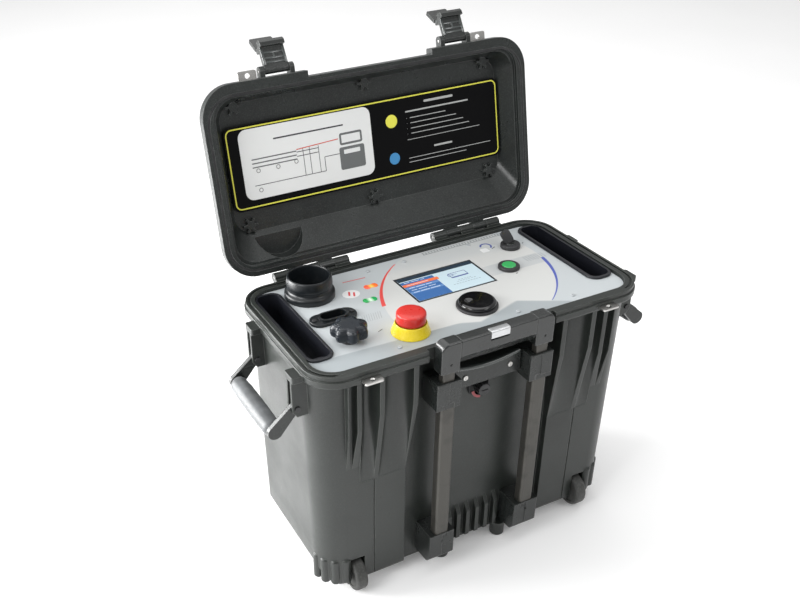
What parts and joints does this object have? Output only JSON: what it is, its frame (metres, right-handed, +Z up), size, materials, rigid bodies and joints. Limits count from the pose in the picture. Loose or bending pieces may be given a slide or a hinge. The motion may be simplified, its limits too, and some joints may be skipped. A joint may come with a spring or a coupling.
{
  "type": "insulation resistance tester",
  "caption": "High-voltage cable insulation tester in a wheeled top-loading hard case, lid open over a control panel with sockets, display, switches and an emergency stop.",
  "frame": {"origin": "On the floor, under the middle of the whole object as it stands with its lid open", "axes": "+Z up; -Y is the front, with the pull handle and wheels; +X is to the right when facing the front"},
  "size_m": [0.6054, 0.4018, 0.6923],
  "materials": {
    "case_plastic": "matte, fine grain",
    "lid_plastic": "matte, mottled",
    "wheel_plastic": "matte",
    "tube_metal": "anodised, warm grey",
    "grip_rubber": "soft matte",
    "seal_rubber": "soft matte",
    "steel": "brushed",
    "button_metal": "satin",
    "brass": "bare",
    "panel_paint": "satin print",
    "tray_plastic": "satin",
    "socket_plastic": "satin black",
    "key_metal": "satin black",
    "estop_yellow": "gloss",
    "estop_red": "gloss",
    "switch_block": "matte",
    "start_green": "translucent gloss",
    "lens": "translucent gloss",
    "display_black": "matte",
    "display_glass": "clear gloss",
    "label_board": "satin print",
    "chassis_metal": "mill finish",
    "tank_paint": "satin",
    "stack_resin": "gloss resin",
    "supply_metal": "brushed",
    "board": "solder mask"
  },
  "bodies": {
    "case": {"base_shell": "case_plastic", "base_padlock_plates": "steel", "hinge_pins": "steel", "wheel_axles": "steel", "trolley_outer_tubes": "tube_metal", "trolley_top_brackets": "case_plastic", "trolley_bottom_brackets": "case_plastic", "trolley_cross_brace": "case_plastic", "trolley_brace_screws": "steel", "valve_seat": "case_plastic", "side_handle_pins": "steel", "panel_plate": "panel_paint", "panel_screws": "steel", "tray_left": "tray_plastic", "tray_right": "tray_plastic", "hv_socket": "socket_plastic", "hv_contact": "brass", "aux_socket": "socket_plastic", "aux_pins": "brass", "aux_screws": "steel", "ground_stud": "brass", "estop_collar": "estop_yellow", "estop_block": "switch_block", "jog_encoder": "socket_plastic", "start_switch": "socket_plastic", "key_housing": "socket_plastic", "display_module": "display_black", "display_window": "display_glass", "lamp_lenses": "lens", "chassis": "chassis_metal", "transformer": "tank_paint", "rectifier_stack": "stack_resin", "power_supply": "supply_metal", "control_board": "board"},
    "lid": {"lid_shell": "lid_plastic", "lid_seal": "seal_rubber", "lid_label": "label_board", "lid_padlock_plates": "steel", "latch_pins": "steel"},
    "latch_left": {"latch_left_arm": "case_plastic"},
    "lever_left": {"latch_left_lever": "case_plastic"},
    "latch_right": {"latch_right_arm": "case_plastic"},
    "lever_right": {"latch_right_lever": "case_plastic"},
    "trolley": {"trolley_inner_tubes": "tube_metal", "trolley_grip": "case_plastic"},
    "trolley_button": {"trolley_button": "button_metal"},
    "wheel_left": {"wheel_left": "wheel_plastic"},
    "wheel_right": {"wheel_right": "wheel_plastic"},
    "valve_knob": {"valve_knob": "case_plastic"},
    "side_handle_left": {"side_handle_left_arms": "case_plastic", "side_handle_left_grip": "grip_rubber"},
    "side_handle_right": {"side_handle_right_arms": "case_plastic", "side_handle_right_grip": "grip_rubber"},
    "estop_stem": {"estop_stem": "estop_red"},
    "estop_cap": {"estop_cap": "estop_red"},
    "start_button": {"start_button": "start_green"},
    "key_barrel": {"key_barrel": "key_metal"},
    "jog_knob": {"jog_knob": "socket_plastic"},
    "ground_washer": {"ground_washer": "brass"},
    "ground_knob": {"ground_knob": "socket_plastic"}
  },
  "joints": [
    {"name": "lid_hinge", "type": "hinge", "parent": "case", "child": "lid", "pos_m": [0, 0.08107, 0.386], "axis": [1, 0, 0], "range_deg": [0, 102.3]},
    {"name": "latch_left_swing", "type": "hinge", "parent": "lid", "child": "latch_left", "pos_m": [-0.139, 0.14996, 0.655], "axis": [1, 0, 0], "range_deg": [0, 111]},
    {"name": "latch_left_lever_swing", "type": "hinge", "parent": "latch_left", "child": "lever_left", "pos_m": [-0.139, 0.17043, 0.67505], "axis": [1, 0, 0], "range_deg": [0, 39]},
    {"name": "wheel_left_spin", "type": "hinge", "parent": "case", "child": "wheel_left", "pos_m": [-0.192, -0.16063, 0.027], "axis": [1, 0, 0], "continuous": true},
    {"name": "side_handle_left_swing", "type": "hinge", "parent": "case", "child": "side_handle_left", "pos_m": [-0.26, -0.05893, 0.328], "axis": [0, 1, 0], "range_deg": [-40, 45]},
    {"name": "latch_right_swing", "type": "hinge", "parent": "lid", "child": "latch_right", "pos_m": [0.139, 0.14996, 0.655], "axis": [1, 0, 0], "range_deg": [0, 111]},
    {"name": "latch_right_lever_swing", "type": "hinge", "parent": "latch_right", "child": "lever_right", "pos_m": [0.139, 0.17043, 0.67505], "axis": [1, 0, 0], "range_deg": [0, 39]},
    {"name": "wheel_right_spin", "type": "hinge", "parent": "case", "child": "wheel_right", "pos_m": [0.192, -0.16063, 0.027], "axis": [1, 0, 0], "continuous": true},
    {"name": "side_handle_right_swing", "type": "hinge", "parent": "case", "child": "side_handle_right", "pos_m": [0.26, -0.05893, 0.328], "axis": [0, -1, 0], "range_deg": [-40, 45]},
    {"name": "trolley_slide", "type": "slide", "parent": "case", "child": "trolley", "axis": [0, 0, 1], "range_m": [0, 0.2]},
    {"name": "trolley_button_press", "type": "slide", "parent": "trolley", "child": "trolley_button", "axis": [0, 0, -1], "range_m": [0, 0.0025], "stiffness_N_per_m": 400, "springref_m": -0.001},
    {"name": "valve_turn", "type": "hinge", "parent": "case", "child": "valve_knob", "pos_m": [0, -0.17093, 0.288], "axis": [0, -1, 0], "range_deg": [0, 180]},
    {"name": "estop_press", "type": "slide", "parent": "case", "child": "estop_stem", "axis": [0, 0, -1], "range_m": [0, 0.004]},
    {"name": "estop_twist", "type": "hinge", "parent": "estop_stem", "child": "estop_cap", "pos_m": [-0.089, -0.12893, 0.401], "axis": [0, 0, -1], "range_deg": [0, 45]},
    {"name": "start_press", "type": "slide", "parent": "case", "child": "start_button", "axis": [0, 0, -1], "range_m": [0, 0.0025], "stiffness_N_per_m": 400, "springref_m": -0.001},
    {"name": "key_turn", "type": "hinge", "parent": "case", "child": "key_barrel", "pos_m": [0.1615, 0.00607, 0.381], "axis": [0, 0, -1], "range_deg": [0, 90]},
    {"name": "jog_turn", "type": "hinge", "parent": "case", "child": "jog_knob", "pos_m": [0.022, -0.11493, 0.381], "axis": [0, 0, 1], "continuous": true},
    {"name": "ground_washer_slide", "type": "slide", "parent": "case", "child": "ground_washer", "axis": [0, 0, 1], "range_m": [0, 0.0051]},
    {"name": "ground_knob_turn", "type": "hinge", "parent": "ground_washer", "child": "ground_knob", "pos_m": [-0.168, -0.10893, 0.381], "axis": [0, 0, 1], "range_deg": [0, 1440]}
  ],
  "couplings": [
    {"joint": "ground_washer_slide", "follows": "ground_knob_turn", "m_per_rad": 0.00019894}
  ]
}
